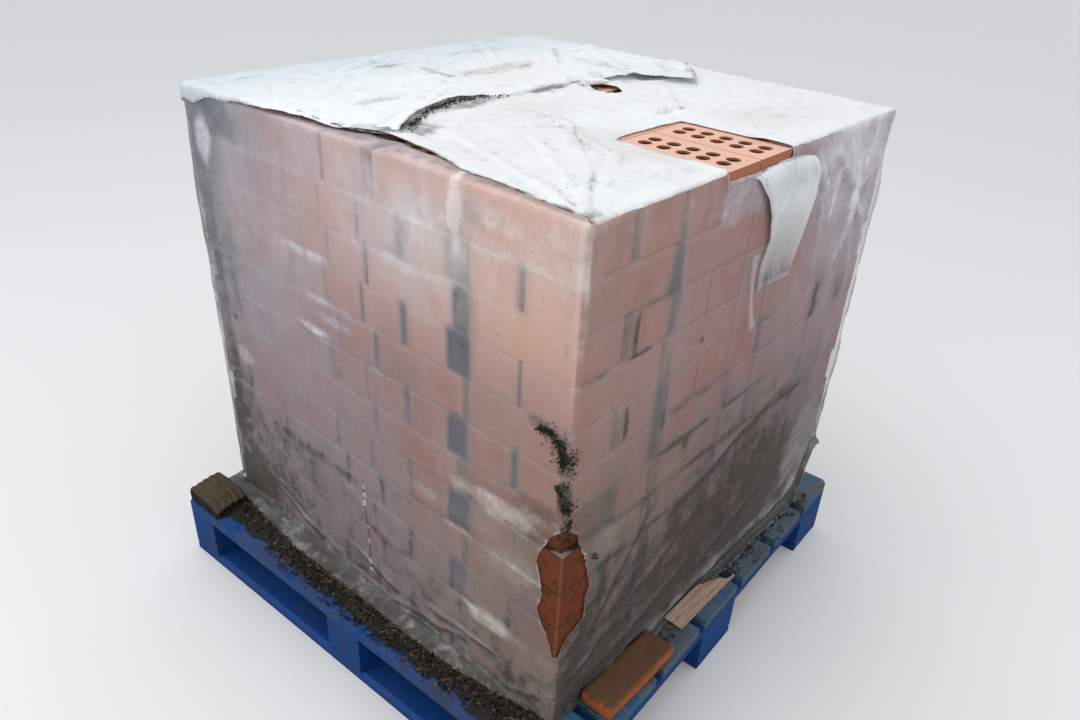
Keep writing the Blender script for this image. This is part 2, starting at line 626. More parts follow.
# Creases by distance along the side and down: puckers, a bulge and the loose far corner on the left
LEFT_FOLDS = [(330, 100, 250, 250, 26, 5), (240, -5, 241, 84, 8, 8), (170, 10, 150, 120, 12, 3),
              (250, 0, 262, 150, 16, 4), (290, 10, 300, 130, 14, 3), (60, 0, 20, 130, 10, 4),
              (860, 20, 850, 560, 12, 3), (935, 30, 925, 700, 14, 5), (985, 20, 980, 900, 16, 7),
              (690, 380, 600, 400, 9, 5), (640, 30, 660, 330, 14, 2), (480, 640, 120, 600, 16, 4),
              (260, 760, 60, 830, 14, 5), (620, 700, 300, 860, 16, 4), (900, 620, 760, 860, 18, 5)]
# the loose film just above the hem there
FOOT_RIDGES = [(205, 900, 330, 935, 5, 5), (300, 925, 520, 962, 5, 6), (470, 950, 780, 968, 6, 6),
               (130, 878, 345, 897, 5, 4), (760, 905, 600, 940, 6, 5), (940, 830, 700, 925, 7, 6),
               (860, 850, 740, 880, 6, 4), (20, 900, 120, 948, 6, 5), (560, 880, 400, 915, 6, 4)]
# the star of creases by the flap, the pulls above the hem, and a few others on the window end
STAR = [(730, 30, 857, 139, 12, 13), (857, 139, 925, 430, 15, 12), (857, 139, 795, 390, 13, 9),
        (857, 139, 975, 270, 12, 10), (700, 50, 742, 320, 12, 6), (920, 20, 862, 140, 11, 8),
        (640, 20, 735, 120, 10, 6), (857, 139, 980, 110, 10, 7), (790, 20, 835, 110, 9, 6)]
HEM_RIDGES = [(30, 868, 420, 690, 12, 8), (50, 912, 480, 800, 12, 10), (60, 940, 430, 905, 9, 9),
              (40, 828, 250, 560, 14, 6), (300, 648, 760, 520, 14, 5), (420, 888, 840, 740, 12, 7),
              (640, 935, 900, 840, 11, 9), (480, 945, 700, 880, 9, 8), (200, 955, 560, 925, 8, 8),
              (180, 900, 330, 850, 9, 6), (560, 900, 760, 830, 10, 6), (760, 950, 960, 880, 10, 8),
              (0, 800, 60, 760, 8, 5), (0, 838, 80, 790, 8, 6), (0, 880, 110, 820, 8, 6), (0, 915, 120, 862, 8, 6)]
END_FOLDS = [(60, 560, 20, 700, 10, 2), (280, 120, 420, 330, 16, 3), (60, 200, 240, 130, 10, 3)]
fall = PACK_H - Z
lefts = folds(ALONG, fall, LEFT_FOLDS) + folds(ALONG, fall, FOOT_RIDGES, .8)
lefts += 7 * ease(ALONG, 930, 1025) * (.5 + .5 * rumple(U, Z, 70, 31)) * ease(Z, 930, 700)
fronts = folds(ALONG, fall, STAR + HEM_RIDGES + END_FOLDS)
fronts += 14 * ease(ALONG, 900, 990) * ease(fall, 60, 240) * (.6 + .4 * rumple(U, Z, 90, 33))
rights = 30 * (1 - ease(ALONG, 40, 420)) * ease(fall, 60, 260) * (.75 + .35 * rumple(U, Z, 110, 35))
rights += 6 * np.clip(rumple(U * 1.4, Z * .35, 120, 36), 0, 1)
backs = 6 * np.clip(rumple(U * 1.4, Z * .35, 130, 37), 0, 1)
swell += np.where(on_left, lefts, np.where(on_front, fronts, np.where(on_right, rights, backs)))
# Gathered folds run from the near corner down both sides
near = np.exp(-((np.minimum(ALONG, 400)) / 55) ** 2) * (on_left | on_front)
swell += near * 3 * np.clip(np.sin(ALONG / 5.5 + Z / 60) * .5 + .5, 0, 1) * ease(fall, 230, 0)
swell[:edge_rows] *= np.linspace(0.0, .9, edge_rows)[:, None]
OUT[:hem_first] += np.maximum(soften(swell, 1), -1.5)[:hem_first]

# The edge is puffed up over the left side
puff = 17 * np.exp(-((along_of - 390) / 150) ** 2) + 6 * np.exp(-((along_of - 120) / 120) ** 2)
puff = np.where(left, puff, 0)
for r, share in enumerate((.3, .6, .85, 1.0, 1.0, .8, .5, .25)):
    Z[r] += puff * share + (.4 + .2 * puff) * rumple(ring, ring * 0 + r * 9, 40, 41, 2)
    OUT[r] += puff * .25 * (r > 3)
# The film is lifted where its lower edge hangs high, less and less up to this height
LIFTED = 900
scale = (PACK_H - hang) / PACK_H
Z = np.where(Z < LIFTED, hang + Z * scale + (LIFTED - LIFTED * scale - hang) * ease(Z, 500, LIFTED), Z)
# The hem lies on the deck in low folds, and stands clear of it where the film hangs higher
bottom_out = OUT[hem_first - 1]
for k, f in enumerate(HEM_STEPS):
    r = hem_first + k
    ripple = .4 + np.clip(rumple(ring * .35, ring * 0 + f * spread * 1.5, 22, 51, 2), -.4, 1)
    OUT[r] = bottom_out * (1 - f) + (3.0 + spread * f + 1.5 * rumple(ring, ring * 0 + k * 5, 16, 52)) * f + 1.0
    lift = 5.5 * (1 - f) ** 3 + 7.0 * math.sin(math.pi * min(f * 1.06, 1)) ** .8 * ripple * ease(spread, 10, 60)
    edge = 3.0 * ease(f, .8, 1.0) * ripple
    Z[r] = np.maximum(1.4 + np.maximum(lift, 0) + np.maximum(edge, 0) + hang - 26 * f * ease(hang, 20, 120), 1.2)

X, Y = base[:, 0] + way[:, 0] * OUT, base[:, 1] + way[:, 1] * OUT
inset = np.clip(-OUT, 0, None)
X = np.clip(X, np.where(OUT < 0, inset, -1e4), np.where(OUT < 0, PACK_X - inset, 1e4))
Y = np.clip(Y, np.where(OUT < 0, inset, -1e4), np.where(OUT < 0, PACK_Y - inset, 1e4))

# Dirt, milkiness and scuffs of the sides
down = PACK_H - Z
ALL = -200, -100    # a span that every place is past


def zones(*table):
    """A sum of strengths, each of which grows between two places along the side and two down it."""
    return sum(much * ease(ALONG, a, b) * ease(down, c, d) for much, a, b, c, d in table)


def creases(table, thin=1.0, lower=0.0, wander=.3):
    """1 along each fold of a table; lower shifts it down by that share of the fold's width."""
    return sum(fold(ALONG, down - lower * w, *ends, w * thin, 1, wander) for *ends, w, h in table)


on_hem = np.zeros((rows, columns))
on_hem[hem_first:] = np.array(HEM_STEPS)[:, None]
off_bed = Z / COURSE - np.round(Z / COURSE)
body = ease(down, 20, 60)
lines = ease(np.abs(down / COURSE - np.round(down / COURSE)) * COURSE, 7, 1) * body
top_edge = ease(np.abs(off_bed + .05) * COURSE, 6, 1) * body
patchy, streaky = rumple(U, down, 120, 91), rumple(U, down * .25, 50, 98, 3)
course_of = np.clip(np.floor(Z / COURSE), 0, COURSES - 1).astype(int)
each = scatter(brick_of + 17 * (U > PACK_X + 5), course_of, 151) - .5
shade = soften(shade, 1) * (on_left | on_front) * (1 - .6 * ease(ALONG, 450, 750))
seams = seam * (.28 + .3 * rumple(U, down, 80, 99)) * ease(down, 15, 60)
far_end = ease(ALONG, 560, 800)
veil = .21 + .05 * patchy + .02 * open_joint + .07 * each + .05 * top_edge
grime = .14 + .55 * ease(down, 560, 960) + .08 * patchy
bleach = .08 + .25 * ease(down, 26, 0)

left_veil = veil + patches(ALONG, down, [(320, 130, 190, 110, .27)]) + zones(
    (.1, 640, 420, 150, 40), (-.05, 260, 30, *ALL), (.17, 300, 900, 900, 300))
left_grime = .09 + .1 * patchy + seams * (1 - .5 * far_end) + .12 * each + .05 * streaky * ease(down, 200, 500)
left_grime += zones((.16, *ALL, 230, 330), (.22, *ALL, 480, 800), (.08, *ALL, 800, 930), (.13, 560, 860, *ALL),
                    (.26, 860, 960, 480, 200), (.1, 250, 60, 650, 820), (.24, 640, 900, 140, 30),
                    (.16, 880, 960, 280, 120))
left_grime += .32 * ease(ALONG + 30 * rumple(U, down, 60, 92), 870, 985)
left_grime += .25 * ease(np.abs(ALONG - 20), 7, 1) * ease(down, 300, 150) * body
left_grime += .45 * creases(FOOT_RIDGES, lower=1.6, wander=.8)
left_grime += patches(ALONG, down, [
    (385, 370, 34, 44, .2), (570, 460, 16, 12, .35), (900, 40, 90, 40, .4), (925, 470, 10, 10, .5),
    (220, 200, 34, 90, .28), (400, 150, 60, 8, .3), (900, 880, 70, 60, .35), (60, 330, 26, 14, .5),
    (8, 380, 14, 70, .5), (4, 470, 14, 60, .5), (225, 262, 12, 8, .5), (700, 700, 200, 12, .2),
    (470, 800, 120, 10, .2), (190, 40, 60, 24, .3)])
left_bleach = .1 + .3 * ease(down + 60 * patchy, 260, 60) * ease(ALONG, 760, 420) + zones((.22, 380, 700, 700, 200))
left_bleach += .1 * top_edge * (1 - .7 * far_end)
left_bleach += .16 * lines * ease(rumple(U, down, 90, 93), -.2, .5) * (1 - .6 * far_end)
left_bleach += zones((.45, 15, 4, 430, 300)) * (.5 + .5 * rumple(U, down, 26, 110, 3))
left_bleach += .42 * creases(FOOT_RIDGES, wander=.8) * (.5 + .5 * rumple(ALONG, down, 26, 105, 2))
left_bleach += patches(ALONG, down, [
    (150, 535, 120, 26, .5), (40, 505, 60, 18, .4), (640, 388, 60, 10, .55), (950, 95, 30, 50, .5),
    (560, 350, 60, 10, .3), (160, 810, 80, 28, .5), (905, 560, 34, 26, .4), (330, 110, 130, 90, .16),
    (150, 36, 60, 24, .4), (40, 60, 70, 60, .25), (240, 40, 12, 60, .6), (390, 170, 90, 14, .25),
    (330, 600, 60, 14, .3), (100, 640, 60, 60, .25), (640, 230, 90, 8, .4), (560, 315, 120, 7, .35),
    (240, 640, 50, 10, .35)])

from_left = ease(ALONG, 120, 620)
foot = ease(down + 30 * rumple(U, down, 150, 94, 3), 640 - 170 * from_left, 960 - 110 * from_left)
foot = foot * (.85 + .45 * rumple(U * .7, down, 70, 107, 3))
front_veil = veil - .02 + zones((.12, 600, 800, 420, 150), (-.05, 760, 480, 250, 450), (.16, 560, 900, 640, 300))
front_grime = .19 + .12 * each + .5 * foot + .1 * patchy + seams + .12 * streaky * ease(down, 100, 500)
front_grime += zones((.4, 1100, 700, 240, 580), (-.1, 600, 800, 560, 300))
front_grime += lines * ease(rumple(U, down, 70, 95), -.2, .5) * zones((.3, 720, 500, 120, 200))
front_grime += .3 * creases(STAR + HEM_RIDGES, lower=1.5, wander=.5)
front_grime += patches(ALONG, down, [
    (134, 196, 7, 44, .7), (165, 158, 34, 6, .6), (40, 240, 36, 6, .4), (150, 240, 30, 6, .45),
    (132, 362, 7, 40, .65), (350, 405, 100, 9, .35), (310, 480, 90, 10, .3), (330, 495, 9, 14, .8),
    (330, 285, 7, 10, .6), (230, 60, 10, 24, .4), (560, 330, 50, 5, .4), (715, 578, 160, 8, .3),
    (785, 300, 30, 50, .3), (775, 380, 30, 40, .25), (430, 562, 200, 10, .25), (210, 150, 20, 30, .3)])
front_bleach = .06 + .38 * ease(ALONG + 40 * patchy, 590, 760) * ease(down, 480, 120) + zones((.3, *ALL, 170, 20))
front_bleach += zones((.4, 12, 3, 430, 300)) * (.5 + .5 * rumple(ALONG, down, 26, 111, 3))
front_bleach += ((.3 * creases(STAR, .6, wander=.5) + .36 * creases(HEM_RIDGES, .6, wander=.5))
                 * (.6 + .4 * rumple(ALONG, down, 30, 106, 2)))
front_bleach += patches(ALONG, down, [
    (110, 590, 70, 40, .3), (220, 530, 60, 40, .15), (400, 60, 120, 40, .25), (900, 780, 110, 190, .35),
    (640, 925, 300, 26, .3), (260, 940, 200, 14, .25), (860, 170, 12, 120, .3), (770, 130, 10, 60, .3),
    (300, 200, 120, 14, .12)])
veil, grime, bleach = (np.where(on_left, a, np.where(on_front, b, c)) for a, b, c in (
    (left_veil, front_veil, veil), (left_grime, front_grime, grime), (left_bleach, front_bleach, bleach)))
# The hem is dirtier and nearly opaque, and dirt lies in the hollows of the folds
hollow = np.clip((soften(OUT, 4) - OUT) * .28, 0, .45) * (Z < 940)
grime += hollow * ease(down, 100, 400)
grime += .32 * ease(on_hem, 0.0, .15) * (.6 + .4 * rumple(U, on_hem * 60, 18, 96, 3))
veil += .24 * ease(on_hem, 0.0, .2)
bleach = bleach * (1 - .8 * ease(on_hem, 0, .1)) + np.where(on_front, .6, .3) * ease(on_hem, .9, 1.0)
bleach += .16 * ease(on_hem, .1, .4) * ease(rumple(U * .25, on_hem * 60, 14, 97, 2), .1, .5)
side_points = columns_of(X, Y, Z, veil, grime, bleach, shade)

# The tear at the near corner and the notch under the window, in distance from the corner and down
near_u = np.where(on_left | (U > hops.sum() - 8), -np.where(on_left, ALONG, 0), np.where(on_front, ALONG, 5000))
near_u, near_down = near_u.ravel(), down.ravel()
TEAR = [(0, 504), (16, 510), (31, 524), (35, 545), (41, 560), (50, 582), (60, 612), (71, 650), (73, 672), (62, 690),
        (68, 715), (65, 738), (50, 744), (28, 748), (11, 762), (3, 784), (-4, 778), (-10, 761), (-21, 736),
        (-34, 720), (-43, 694), (-35, 664), (-34, 650), (-40, 627), (-49, 594), (-46, 576), (-38, 558),
        (-30, 542), (-25, 526), (-9, 510)]
NOTCH = [(338, -40), (338, 14), (404, 17), (548, 15), (548, -40)]
field = np.minimum(outside(near_u, near_down, TEAR, 4.0, 7), outside(near_u, near_down, NOTCH, 1.2, 20))
fray = ease(rumple(near_u, near_down, 18, 108, 3), -.5, .4)
side_points[:, 5] += .7 * ease(field, 3, 0) * fray
side_points[:, 3] += .2 * ease(field, 4, 0) * fray
side_points, side_faces = trim(side_points, grid_faces(rows, columns, ring=True), field)
hood_sides = make("hood_sides", side_points, side_faces, "film", milky, SIDE_MARKS)
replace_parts(hood_sides, "film_hood")

# The hood's top, by distance along the window end and along the left side
WINDOW = [(337, -60), (339, 120), (343, 218), (366, 226), (470, 225), (541, 220), (543, 120), (546, -60)]
NICK = [(590, 430), (604, 421), (625, 419), (648, 438), (660, 460), (645, 496), (620, 497), (604, 482)]
SLIT = [(-60, 610), (0, 560), (14, 504), (28, 455), (47, 430), (80, 455), (125, 488), (209, 542), (280, 562),
        (330, 556), (386, 539), (426, 520), (547, 526), (646, 520), (742, 527), (860, 530), (912, 520), (1080, 480)]
TOP_CREASES = [(20, 20, 250, 330, 8, 5), (15, 30, 150, 420, 9, 4.5), (10, 10, 330, 200, 8, 4.5),
               (8, 14, 120, 110, 6, 7), (20, 6, 160, 70, 6, 6), (6, 30, 70, 170, 6, 6),
               (350, 300, 150, 480, 8, 4), (560, 240, 760, 420, 8, 4), (230, 130, 385, 420, 5, 5)]
DIRTY_CREASES = [(177, 139, 350, 325, 3.5, .5), (350, 325, 360, 500, 3.5, .4), (41, 15, 177, 139, 3.5, .3),
                 (18, 14, 150, 120, 3.5, .3), (16, 24, 90, 240, 3.5, .35), (640, 190, 760, 60, 3.5, .35)]
TOP_STEP = 7.0
WORN_CORNER = 170    # how far the pack's corners are worn low


def slit_at(x):
    return np.interp(x, [p[0] for p in SLIT], [p[1] for p in SLIT])


def random_folds(u, v, count, span, length, width, height, seed, angle, spreading):
    """Creases scattered over a sheet, most of them lying one way."""
    dice, total = random.Random(seed), 0
    for _ in range(count):
        a, l = angle + dice.gauss(0, spreading), length * dice.uniform(.4, 1.5)
        u0, v0 = dice.uniform(span[0], span[1]), dice.uniform(span[2], span[3])
        wide, high = width * dice.uniform(.5, 1.5), height * dice.uniform(.3, 1.0)
        total = total + fold(u, v, u0, v0, u0 + l * math.cos(a), v0 + l * math.sin(a), wide, high,
                             seed=dice.randint(0, 99))
    return total


def over_the_edge(a, span, radius):
    """Wraps a flat coordinate over both edges of a span: gives its place and its drop."""
    def one_end(a):
        bent = np.clip((radius - a) / radius, 0, math.pi / 2)
        place = np.where(a > radius, a, radius - radius * np.sin(bent))
        drop = np.where(a > radius, 0, radius * (1 - np.cos(bent)))
        return place, drop + np.clip(radius - a - radius * math.pi / 2, 0, None)
    low, drop = one_end(a)
    high, drop_high = one_end(span - a)
    middle = a < span / 2
    return np.where(middle, low, span - high), np.where(middle, drop, drop_high)


def laid_sheet(x_range, y_range, height, radius, grow):
    """A sheet over the top of the pack: flat coordinates, points, and how deep each lies in a crease."""
    xs, ys = (np.arange(low, high + TOP_STEP, TOP_STEP) for low, high in (x_range, y_range))
    u, v = np.meshgrid(xs, ys)
    px, dx = over_the_edge(u + grow, PACK_X + 2 * grow, radius)
    py, dy = over_the_edge(v + grow, PACK_Y + 2 * grow, radius)
    rise = height(u, v)
    # The film droops over the worn corners on the right
    worn = [np.hypot(np.clip(u - PACK_X + WORN_CORNER, 0, None), np.clip(past, 0, None))
            for past in (WORN_CORNER - v, v - PACK_Y + WORN_CORNER)]
    hollow = np.clip((soften(rise, 8) - rise) * .35, 0, 1)
    z = PACK_H + np.maximum(rise - 7 * ease(np.maximum(*worn), 120, 240), 2.5) - np.maximum(dx, dy)
    return u.ravel(), v.ravel(), columns_of(px - grow, py - grow, z), hollow.ravel(), grid_faces(len(ys), len(xs))


def top_height(u, v):
    z = 6.5 + 2.4 * rumple(u, v, 160, 61) + 1.4 * rumple(u, v, 45, 62)
    z += random_folds(u, v, 44, (0, 1000, 0, 1000), 190, 7, 3.6, 63, 2.4, .5)
    z += 1.9 * crumple(u, v, 80, 64) + 1.0 * crumple(u, v, 36, 65) + folds(u, v, TOP_CREASES)
    z += 12 * np.exp(-((v - 400) / 140) ** 2) * ease(u, 110, 30) + 4 * ease(np.abs(v - slit_at(u)), 60, 0)
    # The sheet lies low round the window
    return z * (.35 + .65 * np.maximum(ease(outside(u, v, WINDOW), 0, 60), ease(v, 90, 50)))


def back_height(u, v):
    from_edge = v - slit_at(u)
    z = 11 + 3.0 * rumple(u, v, 150, 71) + 1.6 * rumple(u, v, 50, 72)
    z += random_folds(u, v, 34, (0, 1000, 480, 1050), 240, 9, 3.8, 73, .5, .4)
    z += 2.0 * crumple(u, v, 84, 74) + 1.0 * crumple(u, v, 36, 75)
    lip = 4 * ease(from_edge, 42, 6) * (.6 + .5 * rumple(u, v, 60, 76))
    lip += 9 * ease(from_edge, 60, 0) * np.exp(-((u - 110) / 70) ** 2)
    closed = ease(u, 320, 390) * ease(u, 640, 570) * ease(from_edge, 70, 0)
    return z + lip * (1 - .8 * closed) - 3.5 * closed


def bleached_sheet(name, points, faces):
    return make(name, points, faces, "film", bleached, FILM_MARKS)


u, v, points, hollow, faces = laid_sheet((-4, PACK_X + 30), (-26, 700), top_height, 8.0, 3.5)
left_line = np.interp(v, [-30, 0, 85, 171, 236, 335, 418, 494, 700], [8, 8, 10, 18, 14, 32, 34, 22, 22])
edges = u - left_line + 1.5 * rumple(u, v, 22, 66, 3)
holes = np.minimum(outside(u, v, WINDOW, 1.4, 16), outside(u, v, NICK, 1.5, 12))
field = np.minimum(np.minimum(edges, holes), v + 4 + 1.5 * rumple(u, v, 30, 67, 3))
grime = (.06 + hollow * (.75 - .45 * ease(np.hypot(u, v), 340, 200))
         + .9 * ease(edges, 7, 0) * ease(rumple(u, v, 60, 69), -.6, .1) + .35 * ease(holes, 6, 0)
         + .3 * ease(slit_at(u) - v, 30, 0) + .45 * ease(v, 6, -8) * ease(rumple(u, v, 50, 68), -.4, .3)
         + folds(u, v, DIRTY_CREASES, 1.2) * (.6 + .6 * rumple(u, v, 24, 112, 2))
         + patches(u, v, [(100, 455, 75, 42, .6), (300, 530, 90, 24, .6), (520, 520, 60, 16, .6),
                          (830, 480, 110, 26, .4), (170, 90, 110, 60, .1), (230, 40, 120, 30, .14),
                          (560, 270, 80, 14, .25), (20, 14, 22, 16, .45)]))
thin = .25 + patches(u, v, [(330, 180, 90, 140, .8), (620, 120, 120, 90, .4), (330, 400, 160, 110, .4)])
veil = .96 - .25 * ease(v, 0, -10) - .1 * np.clip(thin - .3, 0, 1)
hood_top = bleached_sheet("hood_top", *trim(np.column_stack([points, veil, grime, thin]), faces, field))

u, v, points, hollow, faces = laid_sheet((-48, PACK_X + 30), (400, PACK_Y + 34), back_height, 10.0, 6.0)
ragged = v - slit_at(u) + 3.0 * rumple(u, v, 26, 77, 3)
hang_left = np.interp(v, [400, 430, 470, 504, 646, 690, 736, 799, 863, 898, 930, 960, 990, 1040],
                      [-47, -42, -26, -14, -12, -4, 4, 9, 16, 15, 24, 37, 34, 36])
border = u + hang_left + 3.5 * rumple(u, v, 30, 78, 3)
grime = (.07 + hollow * .75 + .5 * ease(border, 8, 0) * ease(v, 700, 800) + .45 * ease(ragged, 8, 0)
         + patches(u, v, [(180, 640, 60, 20, .3), (440, 760, 16, 70, .35), (560, 720, 130, 40, .3),
                          (400, 880, 60, 14, .4)]) + .2 * ease(rumple(u, v, 90, 79, 3), .1, .6))
thin = patches(u, v, [(560, 700, 200, 110, .7), (300, 900, 260, 90, .4)])
back_sheet = bleached_sheet("back_sheet", *trim(np.column_stack([points, .97 + 0 * u, grime, thin]), faces,
                                                np.minimum(ragged, border)))

# The torn edge of the back sheet is flipped forward and curled near its right end
t, q = unit_grid(52, 22)
lip_x = 590 + 345 * t
reach = np.interp(t, [0, .15, .35, .55, .68, .85, 1], [6, 22, 40, 78, 165, 120, 60])
lip_y = slit_at(lip_x) + 12 - reach * (1 + .12 * rumple(lip_x, q * 0, 26, 101, 2)) * q
lip_z = (PACK_H + 17 + 9 * np.sin(math.pi * q) * (.6 + .4 * np.sin(t * 9)) + 5 * rumple(lip_x, lip_y, 30, 102, 2)
         + 4 * np.exp(-((q - 1) / .12) ** 2) + 5 * np.exp(-((q - .3) / .1) ** 2) - 4 * q)
lip_grime = .16 + .5 * ease(q, .85, 1) + .4 * np.clip(rumple(lip_x, lip_y, 24, 103, 3), 0, 1)
points = columns_of(lip_x + 6 * q * np.sin(t * 7), lip_y, lip_z, .95, lip_grime, 0)
turned_lip = bleached_sheet("turned_lip", points, grid_faces(*t.shape))

# The film cut from the nick is curled up beside it
t, q = unit_grid(30, 16)
turn = 4.6 * q
curl_y = 500 - 12 * t - 16 * np.sin(turn) * (.6 + .4 * t) * .8
curl_z = PACK_H + 9 + 9 * (1 - np.cos(turn)) * (.7 + .3 * np.sin(3 * t)) * .8
points = columns_of(590 + 62 * t + 4 * np.sin(turn * 1.3), curl_y, curl_z, .96, .12 + .4 * q * (t < .25), 0)
nick_curl = bleached_sheet("nick_curl", points, grid_faces(*t.shape))

# The flap cut out of the window is rolled over the edge and hangs down
t, q = unit_grid(52, 36)
flap_down = 22 + t * 226
flap_left = np.interp(flap_down, [20, 40, 70, 107, 150, 190, 230, 260], [422, 442, 474, 498, 508, 496, 496, 500])
flap_right = np.interp(flap_down, [20, 60, 100, 170, 225, 260], [622, 650, 656, 640, 620, 612])
fx = flap_left + (flap_right - flap_left) * q
fz = PACK_H - flap_down + 9 * (1 - t) * np.sin(q * 3.0) + 2 * rumple(fx, flap_down, 30, 82, 3) * t
fy = -(7 + 5 * (1 - t) ** 2 + 2.0 * np.sin(q * 7 + t * 3) + 6 * np.exp(-((q - .96) / .05) ** 2)
       + 1.6 * rumple(fx, fz, 40, 81)
       + folds(fx, flap_down, [(640, 40, 600, 250, 8, 3), (600, 40, 520, 130, 9, 3)]))
roll = np.clip(1 - t / .11, 0, 1)
fy += roll ** 1.4 * 11
fz += np.sin(roll * math.pi) * 5 - roll * 3
flap_grime = (.12 + .25 * np.clip(rumple(fx, fz, 50, 83, 3), 0, 1) + .35 * ease(t, .8, 1)
              + patches(fx, flap_down, [(560, 60, 60, 40, .15), (560, 225, 60, 24, .3)]))
flap_veil = .96 - .62 * ease(t, .25, .95) - .2 * ease(q, .1, 0.0) + .12 * ease(q, .25, 0.0) * ease(t, .4, .8)
points = columns_of(fx, fy, fz, flap_veil, flap_grime, 0)
hanging_flap = bleached_sheet("hanging_flap", points, grid_faces(*t.shape))

# A narrow tail of the same film clings to the side below the flap
t, q = unit_grid(40, 9)
tail_down = 172 + 160 * t
tx = np.interp(t, [0, .3, .7, 1], [462, 470, 484, 500]) + (30 - 14 * np.sin(t * 3)) * q
ty = -(5.4 + 1.6 * np.sin(q * 3.1) + .8 * rumple(tx, tail_down, 16, 84))
tail_veil = .14 + .28 * np.sin(q * 3.1) * (.7 + .5 * rumple(tx, tail_down, 14, 109, 2))
points = columns_of(tx, ty, PACK_H - tail_down, tail_veil, .12 + .5 * ease(t, .9, 1), 0)
flap_tail = bleached_sheet("flap_tail", points, grid_faces(*t.shape))


# Loose pieces on the ledges
def lump(name, node, finish, slot, radius, wear, size, turned=True, shape=None):
    """Stands for a solid node: its box with broken edges and an uneven surface, nowhere larger than the node."""
    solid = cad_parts[node]
    box = np.array([solid.matrix_world @ v.co for v in solid.data.vertices]) * 1000
    if turned:
        box = from_frame(box)
    low, high = box.min(0), box.max(0)
    half = (high - low) / 2
    cube = bmesh.new()
    bmesh.ops.create_cube(cube, size=2)
    bmesh.ops.subdivide_edges(cube, edges=cube.edges, cuts=26, use_grid_fill=True)
    cube.verts.index_update()
    p = np.array([v.co for v in cube.verts]) * half
    faces = [[v.index for v in f.verts] for f in cube.faces]
    cube.free()
    core = np.clip(p, -(half - radius), half - radius)
    away = p - core
    way = away / np.maximum(np.linalg.norm(away, axis=1), 1e-6)[:, None]
    a, b = p[:, 0] + .7 * p[:, 2], p[:, 1] - 1.3 * p[:, 2]
    dent = wear * (.5 + .5 * rumple(a, b, size, 141, 3)) + wear * .5 * crumple(a, b, size * 1.5, 142)
    p = core + way * (radius - dent)[:, None]
    if shape:
        p = shape(p, half)
    p = p + (low + high) / 2
    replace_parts(make(name, p if turned else from_frame(p), faces, slot, finish), node)


def split_shape(p, half):
    """Narrows a board to a torn point at its far end."""
    along = (p[:, 0] / half[0] + 1) / 2
    torn = 1 - .8 * ease(along, .55, 1.0) + .18 * rumple(p[:, 0], p[:, 1] * 0, 14, 143, 3) * ease(along, .4, .8)
    p[:, 1] = -half[1] + (p[:, 1] + half[1]) * np.clip(torn, .1, 1)
    p[:, 2] -= 2.5 * ease(along, .6, 0.0) * (p[:, 2] > 0)
    return p


def rotten_shape(p, half):
    """Wears a block away at its outer end and along its grain."""
    along = (p[:, 1] / half[1] + 1) / 2
    furrow = 3.0 * np.abs(np.sin(p[:, 0] / 5.2 + .6 * np.sin(p[:, 1] / 19))) * (p[:, 2] > 0)
    p[:, 2] -= (furrow + 12 * ease(along, .35, 0.0) + 7 * ease(p[:, 0], 0, -half[0])) * (p[:, 2] > -half[2] * .5)
    p[:, 1] += 6 * np.clip(rumple(p[:, 0], p[:, 2], 12, 144, 3), 0, 1) * ease(along, .15, 0.0)
    return p


lump("worn_loose_brick", "loose_brick", muddy_brick, "loose_brick", 10, 3.0, 18)
lump("split_board", "board_sliver", split, "split_wood", 2.0, 1.2, 12, shape=split_shape)
lump("rotten_offcut", "bearer_offcut", rotten, "weathered_wood", 7, 3.0, 16, turned=False, shape=rotten_shape)

# Litter. Each bit is bent and seven-pointed, the last point in its middle.
BIT = ((-.5, 0, 0), (-.15, -.5, .5), (.25, -.38, .4), (.5, 0, 0), (.22, .42, .45), (-.2, .5, .5),
       (.05, 0, -.2))
# Runs of moss at the near corner: distance from the corner, down and half width at both ends of each
MOSS_RUNS = ((-62, 334, 5, -34, 330, 7), (-34, 332, 8, -10, 352, 11), (-14, 345, 10, -6, 386, 9),
             (-10, 356, 9, -2, 372, 9), (-16, 416, 3, -10, 434, 3), (-4, 404, 3, 0, 468, 5),
             (-2, 440, 6, 2, 462, 5), (2, 478, 4, 3, 528, 6))
LEDGE_Y = [0, 94, 210, 345, 503, 680, 856, 948]


def turned_by(a, b, angle):
    return a * math.cos(angle) - b * math.sin(angle), a * math.sin(angle) + b * math.cos(angle)


def scattered(name, count, place, size, shape, finish, seed, tilt=.5):
    """Many small bent bits lying about, in one piece."""
    dice, points, faces = random.Random(seed), [], []
    for _ in range(count):
        x, y, z = place(dice)
        a, l = dice.uniform(0, math.tau), size * dice.uniform(.4, 1.3)
        w, bend, lean = l * shape * dice.uniform(.6, 1.3), l * dice.uniform(-.1, .35), dice.gauss(0, tilt)
        roll = dice.gauss(0, tilt)
        first = len(points)
        for p, q, r in BIT:
            py, pz = turned_by(q * w, r * bend, roll)
            px, pz = turned_by(p * l, pz, lean)
            px, py = turned_by(px, py, a)
            points.append((x + px, y + py, max(z + pz, .6)))
        faces += [[first + i, first + (i + 1) % 6, first + 6] for i in range(6)]
    make(name, np.array(points), faces, None, finish, smooth=False)


def ledge_edge(y):
    """Where the pallet's edge lies beside the pack's left side."""
    return -116.4 + math.tan(TURN) * (y - PACK_Y / 2)


